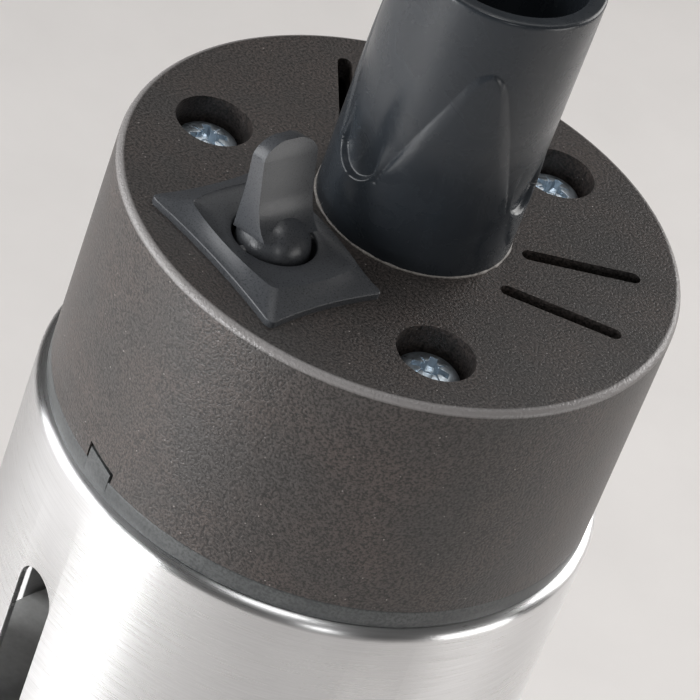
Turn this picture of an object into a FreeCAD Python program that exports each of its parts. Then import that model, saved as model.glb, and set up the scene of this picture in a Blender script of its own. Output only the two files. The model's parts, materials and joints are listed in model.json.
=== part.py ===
import FreeCAD, Part
import math
import os

from FreeCAD import Vector

# A stick-shaped sous vide circulator, in millimetres. Z is its long axis and Z = 0 is the surface it
# stands on. The dry head is at the top, under the end cap. The toggle switch is on the -Y side.

# ---- driving dimensions ----
CAP_R, CAP_TOP, CAP_H = 35.0, 255.0, 31.7
CAP_WALL, CAP_ROOF, CAP_EDGE = 2.5, 3.0, 1.0
RING_H, RING_IN_R = 2.7, 32.5
KEY_AZ, KEY_W, KEY_H = -92.0, 4.4, 1.9
SLEEVE_TOP = CAP_TOP - CAP_H - RING_H

SLEEVE_R, SLEEVE_T, SLEEVE_LIP_R, SLEEVE_BOTTOM, SHOULDER_R = 36.16, 0.8, 31.5, 45.2, 1.5
SLOT_COUNT, SLOT_AZ, SLOT_W, SLOT_TOP, SLOT_BOTTOM = 5, -96.0, 7.3, 204.0, 110.0

NECK_Y, NECK_R, NECK_WALL, NECK_H = 1.7, 11.95, 2.0, 36.6
BOOT_T, BOOT_H, TONGUE_AZ = 0.3, 7.6, -37.3
SPIGOT_R, SPIGOT_BORE_R, NECK_FLOOR = 9.0, 7.2, 4.0

SCREW_RING_R, SCREW_AZ = 25.3, (90.0, 210.0, 330.0)
RECESS_R, RECESS_H, BOSS_R, POST_R = 4.8, 4.8, 6.8, 5.0

VENT_W = 1.9
VENTS = ((15.8, 43.3, 28.7, 47.8), (16.3, 12.9, 29.0, 23.7))  # inner r, inner az, outer r, outer az

SWITCH_Y, BALL_R, BALL_Z, LEVER_LEAN = -20.6, 4.9, CAP_TOP + 0.6, -15.0
BALL_HOLE_R, PIN_R, FIN_W, FIN_TOP = 5.1, 0.8, 7.8, 13.4
ROCKER_TILT, ROCKER_Z, ROCKER_PIN_R = 6.75, 241.8, 0.75

BULKHEAD_R, BULKHEAD_LOW, BULKHEAD_FLOOR = 34.5, 207.0, 216.0
BULKHEAD_RIM, RIM_SEAL_R = SLEEVE_TOP - SLEEVE_T - 0.1, 32.8
BOARD_Z, BOARD_T, BOARD_R = 225.0, 1.6, 30.5
BOARD_SCREW_R, BOARD_SCREW_AZ = 27.3, (0.0, 170.0, 270.0)

LEG_R, LEG_TUBE_R, LEG_AZ = 25.5, 3.0, (60.0, 120.0)
COIL_TOP, COIL_BOTTOM, COIL_TURNS, COIL_RETURN_R = 145.0, 71.0, 19 / 6, 18.0
PROBE_R, PROBE_AZ, PROBE_TUBE_R, PROBE_LOW = 27.0, 20.0, 2.0, 151.0
LEVEL_R, LEVEL_AZ, LEVEL_ROD_R = 28.0, (300.0, 312.0), 1.2

CAN_R, CAN_T, CAN_BOTTOM, CAN_SEAL_R, CAN_SCREW_R = 20.5, 0.8, 160.0, 20.45, 22.6
CASE_R, CASE_T, CASE_LOW, CASE_HIGH = 18.0, 1.2, 165.0, 199.0
MOTOR_SHAFT_R, PUMP_SHAFT_R = 2.0, 2.5
RUN, SEAT = 0.05, 0.02  # radial gap of a turning fit, and of a seated part
PLATE_R, PLATE_LOW, PLATE_T, PLATE_HUB_R, PLATE_SCREW_R = 34.9, 156.0, 3.6, 16.0, 13.0

BASE_LOW, BASE_SHOULDER, BASE_TOP, BASE_IN_R, BASE_FLOOR = 3.0, 45.0, 55.0, 32.5, 6.0
BASE_SCREW_Z, BASE_SCREW_AZ = 50.0, (45.0, 135.0, 225.0, 315.0)
OUTLET_W, OUTLET_LOW, OUTLET_HIGH = 16.0, 9.0, 23.0
COVER_R, COVER_LOW, COVER_T, INLET_R, COVER_HUB_R = 32.2, 27.0, 3.0, 15.0, 7.5
BUSHING_R, COVER_SCREW_R, THIRDS = 4.98, 28.2, (30.0, 150.0, 270.0)
IMPELLER_R, IMPELLER_LOW, IMPELLER_H, VANES = 23.0, 11.0, 12.0, 6

UP = Vector(0, 0, 1)


# ---- small helpers ----
def polar(r, azimuth, z=0.0):
    a = math.radians(azimuth)
    return Vector(r * math.cos(a), r * math.sin(a), z)


def cylinder(r, low, high, at=Vector(0, 0, 0)):
    return Part.makeCylinder(r, high - low, Vector(at.x, at.y, low), UP)


def tube(outer, inner, low, high, at=Vector(0, 0, 0)):
    return cylinder(outer, low, high, at).cut(cylinder(inner, low - 1, high + 1, at))


def block(x0, x1, y0, y1, z0, z1):
    return Part.makeBox(x1 - x0, y1 - y0, z1 - z0, Vector(x0, y0, z0))


def rod(start, end, r):
    return Part.makeCylinder(r, (end - start).Length, start, end - start)


def ring_section(r, z, section):
    return Part.makeTorus(r, section, Vector(0, 0, z), UP)


def prism(points, low, high):
    """A vertical prism over (x, y) points."""
    edge = [Vector(x, y, low) for x, y in points]
    return Part.Face(Part.makePolygon(edge + edge[:1])).extrude(Vector(0, 0, high - low))


def hexagon(across_flats, low, high, at):
    r = across_flats / math.sqrt(3)
    corners = [polar(r, 60 * k) + at for k in range(6)]
    return prism([(p.x, p.y) for p in corners], low, high)


def fuse(shapes):
    return shapes[0].multiFuse(shapes[1:]).removeSplitter() if len(shapes) > 1 else shapes[0]


def turned(shape, azimuth):
    copy = shape.copy()
    copy.rotate(Vector(0, 0, 0), UP, azimuth)
    return copy


def round_slot(start, end, width, low, high):
    """A vertical round-ended slot cutter between two plan points."""
    run = end - start
    side = Vector(-run.y, run.x, 0).normalize() * (width / 2)
    corners = [start + side, start - side, end - side, end + side]
    body = prism([(p.x, p.y) for p in corners], low, high)
    return fuse([body, cylinder(width / 2, low, high, start), cylinder(width / 2, low, high, end)])


def wire_run(points, r):
    """A tube along straight runs with a ball at each corner."""
    runs = [rod(a, b, r) for a, b in zip(points, points[1:])]
    return fuse(runs + [Part.makeSphere(r, p) for p in points[1:-1]])


def outline(half_x, half_y, bow, z, at):
    """A rectangle whose four sides are arcs: bow > 0 curves a side inwards."""
    c = [Vector(-half_x, -half_y, 0), Vector(half_x, -half_y, 0),
         Vector(half_x, half_y, 0), Vector(-half_x, half_y, 0)]
    mid = [Vector(0, -half_y + bow, 0), Vector(half_x - bow, 0, 0),
           Vector(0, half_y - bow, 0), Vector(-half_x + bow, 0, 0)]
    lift = Vector(at.x, at.y, z)
    arcs = [Part.Arc(c[k] + lift, mid[k] + lift, c[(k + 1) % 4] + lift).toShape() for k in range(4)]
    return Part.Wire(arcs)


# ---- neck, cap and their fastenings ----
def arch_prism():
    """The outline of one boot tongue, as a prism pointing out along -Y."""
    left = [Vector(-8.3, 0, 4.0), Vector(-7.5, 0, 12.0), Vector(-5.0, 0, 20.2), Vector(-1.2, 0, 28.6)]
    tip = Vector(0, 0, 29.3)
    right = [Vector(-p.x, 0, p.z) for p in reversed(left)]
    edges = [Part.makeLine(left[0], left[1]), Part.Arc(left[1], left[2], left[3]).toShape(),
             Part.Arc(left[3], tip, right[0]).toShape(), Part.Arc(right[0], right[1], right[2]).toShape(),
             Part.makeLine(right[2], right[3]), Part.makeLine(right[3], left[0])]
    return Part.Face(Part.Wire(edges)).extrude(Vector(0, -30, 0))


def neck_tube():
    body = fuse([cylinder(NECK_R, 0, NECK_H), cylinder(SPIGOT_R, -10.0, 0.0)])
    skin = tube(NECK_R + BOOT_T, NECK_R - 0.5, 0.0, NECK_H)
    boot = [tube(NECK_R + BOOT_T, NECK_R - 0.5, 0.0, BOOT_H)]
    boot += [skin.common(turned(arch_prism(), 90 + TONGUE_AZ + 120 * k)) for k in range(3)]
    shape = fuse([body] + boot)
    shape = shape.cut(cylinder(NECK_R - NECK_WALL, NECK_FLOOR, NECK_H + 1))
    shape = shape.cut(cylinder(SPIGOT_BORE_R, -11, NECK_FLOOR + 1))
    shape.translate(Vector(0, NECK_Y, CAP_TOP))
    return shape


def neck_locknut():
    at = Vector(0, NECK_Y, 0)
    top = CAP_TOP - CAP_ROOF
    return hexagon(22.0, top - 5.0, top, at).cut(cylinder(SPIGOT_R + 0.05, top - 6, top + 1, at))


def cable_gland():
    """A gland body pushed up into the spigot from below, flush with the neck's floor."""
    at = Vector(0, NECK_Y, 0)
    seat = CAP_TOP - 10.1
    flange = hexagon(16.0, seat - 3.9, seat, at)
    barrel = cylinder(SPIGOT_BORE_R - 0.1, seat, CAP_TOP + NECK_FLOOR, at)
    thread = cylinder(6.0, seat - 7.4, seat - 3.9, at)
    return fuse([flange, barrel, thread]).cut(cylinder(5.0, seat - 10, CAP_TOP + 20, at))


def gland_nut():
    at = Vector(0, NECK_Y, 0)
    high = CAP_TOP - 14.1
    nut = hexagon(15.0, high - 4.4, high, at).cut(cylinder(6.05, high - 3.6, high + 1, at))
    return nut.cut(cylinder(3.4, high - 5, high, at))


def gland_grommet():
    at = Vector(0, NECK_Y, 0)
    return tube(4.9, 3.3, CAP_TOP - 16.5, CAP_TOP + NECK_FLOOR, at)


def vent_cutters():
    cuts = []
    for r0, a0, r1, a1 in VENTS:
        for start, end in ((a0, a1), (180 - a0, 180 - a1)):
            span = polar(r0, start), polar(r1, end)
            cuts.append(round_slot(span[0], span[1], VENT_W, CAP_TOP - 5, CAP_TOP + 1))
    return cuts


def end_cap():
    low = CAP_TOP - CAP_H
    shell = cylinder(CAP_R, low, CAP_TOP)
    rim = [e for e in shell.Edges if abs(e.BoundBox.ZMin - CAP_TOP) < 0.01 and e.Length > 10]
    shell = shell.makeFillet(CAP_EDGE, rim)
    shell = shell.cut(cylinder(CAP_R - CAP_WALL, low - 1, CAP_TOP - CAP_ROOF))
    bosses = [cylinder(BOSS_R, CAP_TOP - RECESS_H - 3.0, CAP_TOP - 1.5, polar(SCREW_RING_R, a))
              for a in SCREW_AZ]
    shell = fuse([shell] + bosses)
    cuts = [cylinder(RECESS_R, CAP_TOP - RECESS_H, CAP_TOP + 1, polar(SCREW_RING_R, a)) for a in SCREW_AZ]
    cuts += [cylinder(2.2, CAP_TOP - 12, CAP_TOP + 1, polar(SCREW_RING_R, a)) for a in SCREW_AZ]
    cuts += vent_cutters()
    cuts.append(cylinder(SPIGOT_R + 0.1, CAP_TOP - 5, CAP_TOP + 1, Vector(0, NECK_Y, 0)))
    cuts.append(block(-9.2, 9.2, SWITCH_Y - 6.2, SWITCH_Y + 6.2, CAP_TOP - 5, CAP_TOP + 1))
    notch_w, notch_h = KEY_W + 0.8, KEY_H + 0.5
    cuts.append(turned(block(30, 40, -notch_w / 2, notch_w / 2, low - 1, low + notch_h), KEY_AZ))
    return shell.cut(cuts[0].multiFuse(cuts[1:]))


def cap_seal_ring():
    """The grey gasket under the cap, with its key standing in the cap's notch."""
    low = SLEEVE_TOP
    ring = tube(CAP_R, RING_IN_R, low, low + RING_H)
    key = tube(CAP_R, RING_IN_R + 0.2, low + 1, low + RING_H + KEY_H)
    key = key.common(turned(block(30, 40, -KEY_W / 2, KEY_W / 2, low, low + 10), KEY_AZ))
    return fuse([ring, key])


def cap_screw(at):
    seat = CAP_TOP - RECESS_H
    head = cylinder(4.0, seat, seat + 2.6, at)
    head = head.makeFillet(1.3, [e for e in head.Edges if e.BoundBox.ZMin > seat + 2.5])
    shank = cylinder(1.95, seat - 18.0, seat, at)
    cross = [Part.makeBox(4.4, 0.9, 2.0, at + Vector(-2.2, -0.45, seat + 1.2)),
             Part.makeBox(0.9, 4.4, 2.0, at + Vector(-0.45, -2.2, seat + 1.2))]
    return fuse([head, shank]).cut(fuse(cross))


# ---- toggle switch ----
def switch_bezel():
    """A plate with hollow sides and a dished field, on a collar through the cap."""
    at = Vector(0, SWITCH_Y - 0.7, 0)
    low = outline(12.0, 8.5, 1.0, CAP_TOP, at)
    mid = outline(12.0, 8.5, 1.0, CAP_TOP + 0.7, at)
    top = outline(9.6, 7.0, -0.5, CAP_TOP + 2.3, at)
    plate = fuse([Part.makeLoft([low, mid], True, True), Part.makeLoft([mid, top], True, True)])
    field = Part.makeLoft([outline(8.0, 5.6, -0.9, CAP_TOP + 1.6, at),
                           outline(8.8, 6.3, -0.7, CAP_TOP + 2.4, at)], True)
    collar = block(-9.0, 9.0, SWITCH_Y - 6.0, SWITCH_Y + 6.0, CAP_TOP - CAP_ROOF - 1.0, CAP_TOP)
    shape = fuse([plate, collar]).cut(field)
    shape = shape.cut(cylinder(BALL_HOLE_R, CAP_TOP - 10, CAP_TOP + 10, Vector(0, SWITCH_Y, 0)))
    return shape.cut(rod(Vector(0, SWITCH_Y - 5.8, BALL_Z), Vector(0, SWITCH_Y + 5.8, BALL_Z), PIN_R + 0.01))


def switch_housing():
    low, high = 232.0, CAP_TOP - CAP_ROOF - 1.1
    case = block(-10.0, 10.0, SWITCH_Y - 6.5, SWITCH_Y + 6.5, low, high)
    case = case.cut(block(-8.4, 8.4, SWITCH_Y - 5.2, SWITCH_Y + 5.2, low + 3.0, high + 1))
    for x in (-6.0, 0.0, 6.0):
        case = case.cut(block(x - 0.45, x + 0.45, SWITCH_Y - 2.45, SWITCH_Y + 2.45, low - 1, low + 4))
    return case


def switch_pivot_pin():
    return rod(Vector(0, SWITCH_Y - 5.7, BALL_Z), Vector(0, SWITCH_Y + 5.7, BALL_Z), PIN_R)


def lever_pose(shape, lean):
    shape.rotate(Vector(0, 0, 0), Vector(0, 1, 0), lean)
    shape.translate(Vector(0, SWITCH_Y, BALL_Z))
    return shape


def switch_lever():
    """A ball with a flat flag above it and a hollow tail below it."""
    side = [Vector(-2.3, 0, 2.6), Vector(-1.1, 0, 6.0), Vector(-0.8, 0, FIN_TOP),
            Vector(0.8, 0, FIN_TOP), Vector(1.1, 0, 6.0), Vector(2.3, 0, 2.6)]
    edges = [Part.Arc(side[0], Vector(-1.5, 0, 4.0), side[1]).toShape(),
             Part.makeLine(side[1], side[2]), Part.makeLine(side[2], side[3]),
             Part.makeLine(side[3], side[4]),
             Part.Arc(side[4], Vector(1.5, 0, 4.0), side[5]).toShape(), Part.makeLine(side[5], side[0])]
    flag = Part.Face(Part.Wire(edges)).extrude(Vector(0, FIN_W, 0))
    flag.translate(Vector(0, -FIN_W / 2, 0))
    half = FIN_W / 2
    face = fuse([Part.makeBox(8, FIN_W, FIN_TOP - half, Vector(-4, -half, 0)),
                 Part.makeCylinder(half, 8, Vector(-4, 0, FIN_TOP - half), Vector(1, 0, 0))])
    tail = Part.makeCylinder(2.3, 9.5, Vector(0, 0, -9.5), UP)
    shape = fuse([Part.makeSphere(BALL_R), flag.common(face), tail])
    shape = shape.cut(Part.makeCylinder(1.5, 6.5, Vector(0, 0, -10.5), UP))
    shape = shape.cut(rod(Vector(0, -6, 0), Vector(0, 6, 0), PIN_R + RUN))
    return lever_pose(shape, LEVER_LEAN)


def switch_spring():
    """The coil under the plunger's head, as the thin sleeve that it fills."""
    coil = Part.makeCylinder(1.4, 1.7, Vector(0, 0, -5.8), UP).cut(
        Part.makeCylinder(0.9, 4, Vector(0, 0, -7), UP))
    return lever_pose(coil, LEVER_LEAN)


def switch_plunger():
    stem = Part.makeCylinder(1.4, 5.4, Vector(0, 0, -11.3), UP)
    return lever_pose(fuse([stem, Part.makeSphere(1.4, Vector(0, 0, -11.3))]), LEVER_LEAN)


def switch_rocker():
    arm = fuse([Part.makeBox(13.0, 4.0, 0.8, Vector(-6.5, -2.0, 0)),
                Part.makeCylinder(ROCKER_PIN_R, 4.0, Vector(0, -2.0, 0), Vector(0, 1, 0))])
    arm.rotate(Vector(0, 0, 0), Vector(0, 1, 0), ROCKER_TILT)
    arm.translate(Vector(0, SWITCH_Y, ROCKER_Z))
    return arm


def switch_terminals():
    blades = []
    for x, top in ((-6.0, ROCKER_Z - 1.1), (0.0, ROCKER_Z - 0.85), (6.0, ROCKER_Z - 1.1)):
        blades.append(block(x - 0.4, x + 0.4, SWITCH_Y - 2.4, SWITCH_Y + 2.4, 228.6, top))
    return Part.makeCompound(blades)


def switch_wire(blade_x, start_z, shift):
    """An insulated lead from a switch blade, over the transformer and down to the board."""
    start_y, top = SWITCH_Y + 3.2, 246.0 - shift / 3
    points = [Vector(blade_x, start_y, start_z), Vector(13.2 + shift, start_y + 1.0, start_z),
              Vector(14.5 + shift, -6.0, top), Vector(15.5 + shift, 6.5, top),
              Vector(14.0 + shift, 16.5, 232.0), Vector(14.0 + shift, 16.5, BOARD_Z + BOARD_T)]
    return wire_run(points, 0.75)


# ---- control board ----
def control_board():
    board = cylinder(BOARD_R, BOARD_Z, BOARD_Z + BOARD_T)
    for a in SCREW_AZ:
        board = board.cut(cylinder(POST_R + 0.8, BOARD_Z - 1, BOARD_Z + 3, polar(SCREW_RING_R, a)))
    for a in BOARD_SCREW_AZ:
        board = board.cut(cylinder(1.3, BOARD_Z - 1, BOARD_Z + 3, polar(BOARD_SCREW_R, a)))
    return board


def board_screw(at):
    top = BOARD_Z + BOARD_T
    return fuse([cylinder(2.3, top, top + 1.6, at), cylinder(1.1, top - 6.0, top, at)])


def on_board(x0, x1, y0, y1, height):
    low = BOARD_Z + BOARD_T
    return block(x0, x1, y0, y1, low, low + height)


def capacitor(x, y, height):
    low = BOARD_Z + BOARD_T
    can = cylinder(4.0, low, low + height, Vector(x, y, 0))
    return can.makeFillet(0.6, [e for e in can.Edges if e.BoundBox.ZMin > low + height - 0.1])


def triac_heatsink():
    fins = [on_board(-7.0 + 2.6 * k, -6.0 + 2.6 * k, -12.6, -7.0, 9.0) for k in range(6)]
    return fuse([on_board(-7.0, 7.0, -8.6, -7.0, 9.0)] + fins)


def terminal_block():
    shape = on_board(-7.0, 7.0, 12.4, 18.4, 8.0)
    for k in range(3):
        x = -4.4 + 4.4 * k
        shape = shape.cut(cylinder(1.5, BOARD_Z + 5, BOARD_Z + 12, Vector(x, 15.4, 0)))
    return shape


def radio_module():
    return fuse([on_board(10.0, 16.0, -24.0, -14.0, 1.0), on_board(10.6, 15.4, -22.5, -16.0, 1.8)])


# ---- bulkhead, sleeve and wetted parts ----
def bulkhead():
    shape = fuse([cylinder(BULKHEAD_R, BULKHEAD_LOW, BULKHEAD_RIM),
                  cylinder(31.2, BULKHEAD_RIM - 1, 222.5)])
    shape = shape.cut(cylinder(30.2, BULKHEAD_FLOOR, 230))
    shape = shape.cut(ring_section(RIM_SEAL_R, BULKHEAD_RIM, 1.05))
    posts = [cylinder(POST_R, BULKHEAD_FLOOR - 1, CAP_TOP - RECESS_H - 3.2, polar(SCREW_RING_R, a))
             for a in SCREW_AZ]
    pads = [cylinder(2.6, BULKHEAD_FLOOR - 1, BOARD_Z, polar(BOARD_SCREW_R, a)) for a in BOARD_SCREW_AZ]
    shape = fuse([shape] + posts + pads)
    cuts = [cylinder(1.97, CAP_TOP - 25.0, CAP_TOP, polar(SCREW_RING_R, a)) for a in SCREW_AZ]
    cuts += [cylinder(1.12, BOARD_Z - 5.0, BOARD_Z + 1, polar(BOARD_SCREW_R, a)) for a in BOARD_SCREW_AZ]
    cuts += [cylinder(LEG_TUBE_R + 0.05, 200, 230, polar(LEG_R, a)) for a in LEG_AZ]
    cuts += [cylinder(LEVEL_ROD_R + 0.02, 200, 218, polar(LEVEL_R, a)) for a in LEVEL_AZ]
    cuts += [cylinder(3.4, 200, 218, polar(PROBE_R, PROBE_AZ)), cylinder(4.0, 200, 218)]
    cuts += [cylinder(1.0, 200, 213, polar(CAN_SCREW_R, 90 * k)) for k in range(4)]
    cuts.append(ring_section(CAN_SEAL_R, BULKHEAD_LOW, 0.7))
    return shape.cut(cuts[0].multiFuse(cuts[1:]))


def bulkhead_oring():
    seal = ring_section(RIM_SEAL_R, BULKHEAD_RIM, 0.95)
    return seal.common(cylinder(CAP_R, BULKHEAD_RIM - 3, BULKHEAD_RIM + 0.08))


def slot_cutter():
    """One upright round-ended slot through the sleeve wall, on the +X side."""
    r = SLOT_W / 2
    middle = Part.makeBox(10, SLOT_W, SLOT_TOP - SLOT_BOTTOM - SLOT_W, Vector(31, -r, SLOT_BOTTOM + r))
    ends = [Part.makeCylinder(r, 10, Vector(31, 0, z), Vector(1, 0, 0))
            for z in (SLOT_TOP - r, SLOT_BOTTOM + r)]
    return fuse([middle] + ends)


def sleeve():
    shell = cylinder(SLEEVE_R, SLEEVE_BOTTOM, SLEEVE_TOP)
    shell = shell.makeFillet(SHOULDER_R, [e for e in shell.Edges if e.BoundBox.ZMin > SLEEVE_TOP - 0.01])
    shell = shell.cut(cylinder(SLEEVE_R - SLEEVE_T, SLEEVE_BOTTOM - 1, SLEEVE_TOP - SLEEVE_T))
    shell = shell.cut(cylinder(SLEEVE_LIP_R, SLEEVE_TOP - 5, SLEEVE_TOP + 1))
    cuts = [turned(slot_cutter(), SLOT_AZ + 360.0 / SLOT_COUNT * k) for k in range(SLOT_COUNT)]
    cuts += [rod(polar(30, a, BASE_SCREW_Z), polar(40, a, BASE_SCREW_Z), 1.6) for a in BASE_SCREW_AZ]
    return shell.cut(cuts[0].multiFuse(cuts[1:]))


def heater_coil():
    """A sheathed element: one leg down into a helix, and a return leg inside the helix."""
    height = COIL_TOP - COIL_BOTTOM
    low_az = LEG_AZ[0] - 360.0 * COIL_TURNS
    helix = Part.makeHelix(height / COIL_TURNS, height, LEG_R)
    section = Part.Wire(Part.makeCircle(LEG_TUBE_R, Vector(LEG_R, 0, 0), Vector(0, 1, 0)))
    coil = Part.Wire(helix).makePipeShell([section], True, True)
    coil.translate(Vector(0, 0, COIL_BOTTOM))
    coil.rotate(Vector(0, 0, 0), UP, low_az)
    feed = wire_run([polar(LEG_R, LEG_AZ[0], 222.0), polar(LEG_R, LEG_AZ[0], COIL_TOP)], LEG_TUBE_R)
    inner = [polar(LEG_R, low_az, COIL_BOTTOM), polar(COIL_RETURN_R, low_az, COIL_BOTTOM),
             polar(COIL_RETURN_R, low_az, COIL_TOP + 5.5), polar(LEG_R, LEG_AZ[1], COIL_TOP + 5.5),
             polar(LEG_R, LEG_AZ[1], 222.0)]
    ends = [Part.makeSphere(LEG_TUBE_R, polar(LEG_R, LEG_AZ[0], COIL_TOP)),
            Part.makeSphere(LEG_TUBE_R, inner[0])]
    return fuse([coil, feed, wire_run(inner, LEG_TUBE_R)] + ends)


def heater_nut(at):
    return hexagon(7.8, BULKHEAD_FLOOR, BULKHEAD_FLOOR + 3.6, at).cut(
        cylinder(LEG_TUBE_R + 0.05, BULKHEAD_FLOOR - 1, BULKHEAD_FLOOR + 5, at))


def temperature_probe():
    at = polar(PROBE_R, PROBE_AZ)
    return fuse([cylinder(PROBE_TUBE_R, PROBE_LOW, 221.0, at),
                 Part.makeSphere(PROBE_TUBE_R, Vector(at.x, at.y, PROBE_LOW))])


def probe_grommet():
    at = polar(PROBE_R, PROBE_AZ)
    body = fuse([cylinder(3.35, BULKHEAD_LOW - 1.5, BULKHEAD_FLOOR, at),
                 cylinder(4.3, BULKHEAD_LOW - 1.5, BULKHEAD_LOW, at)])
    return body.cut(cylinder(PROBE_TUBE_R + SEAT, 200, 220, at))


def motor_can():
    flange = cylinder(25.0, BULKHEAD_LOW - CAN_T, BULKHEAD_LOW)
    for a in LEG_AZ:
        flange = flange.cut(cylinder(LEG_TUBE_R + 1.0, 200, 210, polar(LEG_R, a)))
    flange = flange.cut(cylinder(4.6, 200, 210, polar(PROBE_R, PROBE_AZ)))
    cup = cylinder(CAN_R, CAN_BOTTOM, BULKHEAD_LOW - CAN_T)
    cup = cup.makeFillet(2.0, [e for e in cup.Edges if abs(e.BoundBox.ZMax - CAN_BOTTOM) < 0.01])
    inside = cylinder(CAN_R - CAN_T, CAN_BOTTOM + CAN_T, BULKHEAD_LOW + 1)
    shape = fuse([flange, cup]).cut(inside).cut(cylinder(5.05, CAN_BOTTOM - 1, CAN_BOTTOM + 2))
    for k in range(4):
        shape = shape.cut(cylinder(1.35, 200, 210, polar(CAN_SCREW_R, 90 * k)))
    for a in THIRDS:
        shape = shape.cut(cylinder(0.95, CAN_BOTTOM - 1, CAN_BOTTOM + 2, polar(PLATE_SCREW_R, a)))
    return shape


def can_screw(at):
    seat = BULKHEAD_LOW - CAN_T
    return fuse([cylinder(2.0, seat - 1.6, seat, at), cylinder(0.98, seat, 212.5, at)])


def coil_plate():
    """The dark disc under the can: it steadies the element's legs and carries the can on its hub."""
    shape = fuse([cylinder(PLATE_R, PLATE_LOW, PLATE_LOW + PLATE_T),
                  cylinder(PLATE_HUB_R, PLATE_LOW, CAN_BOTTOM)])
    shape = shape.cut(cylinder(7.0, PLATE_LOW - 1, PLATE_LOW + 5))
    shape = shape.cut(cylinder(PROBE_TUBE_R + 0.2, PLATE_LOW - 1, PLATE_LOW + 5, polar(PROBE_R, PROBE_AZ)))
    for a in LEG_AZ:
        shape = shape.cut(cylinder(LEG_TUBE_R + 0.2, PLATE_LOW - 1, PLATE_LOW + 5, polar(LEG_R, a)))
    for a in THIRDS:
        shape = shape.cut(cylinder(1.0, PLATE_LOW - 1, PLATE_LOW + 5, polar(PLATE_SCREW_R, a)))
    return shape


def plate_screw(at):
    return fuse([cylinder(2.0, PLATE_LOW - 1.6, PLATE_LOW, at),
                 cylinder(0.93, PLATE_LOW, CAN_BOTTOM + CAN_T + 1.2, at)])


# ---- motor and drive line ----
def motor_case():
    case = tube(CASE_R, CASE_R - CASE_T, CASE_LOW, CASE_HIGH)
    return fuse([case, tube(CASE_R - 0.5, 4.05, CASE_LOW, CASE_LOW + 1.5)])


def motor_end_bell():
    bell = cylinder(CASE_R, CASE_HIGH, CASE_HIGH + 4.0)
    bell = bell.cut(cylinder(CASE_R - 2.0, CASE_HIGH - 1, CASE_HIGH + 2.0))
    return bell.cut(cylinder(4.05, CASE_HIGH, CASE_HIGH + 5))


def motor_magnet(azimuth):
    arc = tube(CASE_R - CASE_T - 0.05, 14.2, CASE_LOW + 5.0, CASE_HIGH - 5.0)
    wedge = prism([(0, 0), (30, -24), (30, 24)], CASE_LOW, CASE_HIGH)
    return turned(arc.common(wedge), azimuth)


def motor_armature():
    """Five-pole lamination stack."""
    low, high = CASE_LOW + 7.0, CASE_HIGH - 8.0
    core = cylinder(13.6, low, high)
    for k in range(5):
        core = core.cut(turned(block(7.0, 12.2, -3.2, 3.2, low - 1, high + 1), 72 * k))
        core = core.cut(turned(block(12.0, 15.0, -0.9, 0.9, low - 1, high + 1), 72 * k))
    return core.cut(cylinder(MOTOR_SHAFT_R + SEAT, low - 1, high + 1))


def armature_winding(k):
    low, high = CASE_LOW + 5.0, CASE_HIGH - 6.0
    lump = turned(block(7.6, 11.6, -2.8, 2.8, low, high), 72 * k)
    edges = [e for e in lump.Edges if e.Length < 7]
    return lump.makeFillet(0.8, edges)


def commutator():
    body = tube(4.2, MOTOR_SHAFT_R + SEAT, CASE_HIGH - 6.0, CASE_HIGH - 0.4)
    for k in range(5):
        body = body.cut(turned(block(3.0, 5.0, -0.2, 0.2, CASE_HIGH - 6.5, CASE_HIGH), 72 * k + 36))
    return body


def motor_brush(azimuth):
    return turned(block(4.25, 8.0, -1.5, 1.5, CASE_HIGH - 4.8, CASE_HIGH - 1.2), azimuth)


def motor_bearings():
    return Part.makeCompound([tube(4.0, MOTOR_SHAFT_R + RUN, CASE_LOW - 1.5, CASE_LOW + 2.5),
                              tube(4.0, MOTOR_SHAFT_R + RUN, CASE_HIGH + 0.6, CASE_HIGH + 4.6)])


def motor_shaft():
    return cylinder(MOTOR_SHAFT_R, 148.5, CASE_HIGH + 5.0)


def shaft_seal():
    high = CAN_BOTTOM + 2.6
    body = fuse([cylinder(5.0, CAN_BOTTOM, high), cylinder(6.2, CAN_BOTTOM + CAN_T + RUN, high)])
    return body.cut(cylinder(MOTOR_SHAFT_R + RUN, CAN_BOTTOM - 1, CAN_BOTTOM + 4))


def shaft_coupling():
    body = cylinder(5.0, 138.0, 155.0).cut(cylinder(MOTOR_SHAFT_R + SEAT, 148.0, 156.0))
    return body.cut(cylinder(PUMP_SHAFT_R + SEAT, 137.0, 148.0))


def pump_shaft():
    return cylinder(PUMP_SHAFT_R, IMPELLER_LOW, 147.5)


def impeller():
    """A back plate, a hub and curved vanes on the pump shaft."""
    high = IMPELLER_LOW + IMPELLER_H
    plate = cylinder(IMPELLER_R, IMPELLER_LOW, IMPELLER_LOW + 1.6)
    hub = cylinder(6.0, IMPELLER_LOW, high)
    curve = Part.Wire([Part.Arc(Vector(5, 0, 0), Vector(13.5, 4.5, 0), Vector(20.5, 8.6, 0)).toShape(),
                       Part.makeLine(Vector(20.5, 8.6, 0), Vector(21.0, 7.1, 0)),
                       Part.Arc(Vector(21.0, 7.1, 0), Vector(14.0, 3.1, 0), Vector(5.0, -1.6, 0)).toShape(),
                       Part.makeLine(Vector(5.0, -1.6, 0), Vector(5, 0, 0))])
    vane = Part.Face(curve).extrude(Vector(0, 0, IMPELLER_H))
    vane.translate(Vector(0, 0, IMPELLER_LOW))
    body = fuse([plate, hub] + [turned(vane, 360.0 / VANES * k) for k in range(VANES)])
    return body.cut(cylinder(PUMP_SHAFT_R + SEAT, 0, 40))


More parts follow.
